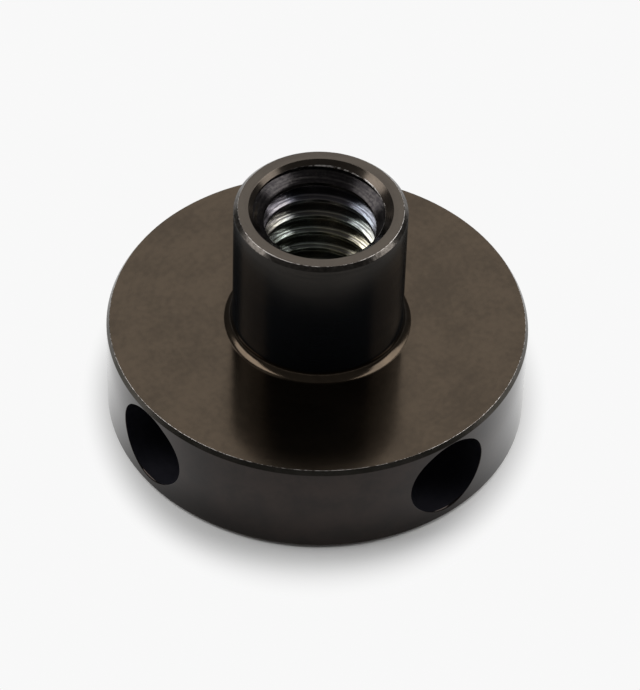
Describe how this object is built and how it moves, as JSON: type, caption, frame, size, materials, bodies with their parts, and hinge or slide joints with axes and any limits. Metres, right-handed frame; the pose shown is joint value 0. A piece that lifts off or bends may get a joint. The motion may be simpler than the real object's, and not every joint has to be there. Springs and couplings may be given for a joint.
{
  "type": "tension rod nut",
  "caption": "Round flanged nut with a threaded boss standing on its shoulder and blind radial holes in its rim for a turning bar.",
  "frame": {"origin": "centre of the flange's flat face, on the nut's axis, where the nut stands", "axes": "+Z along the thread's axis from the flat face towards the end of the boss; +X out through the middle of one bar hole; +Y out through the next bar hole"},
  "size_m": [0.0302, 0.0302, 0.0185],
  "materials": {
    "black_oxide_steel": "black oxide over fine turned steel, lightly oiled and semi-gloss, with brighter thread flanks inside the bore"
  },
  "bodies": {
    "root": {"nut": "black_oxide_steel"}
  },
  "joints": []
}
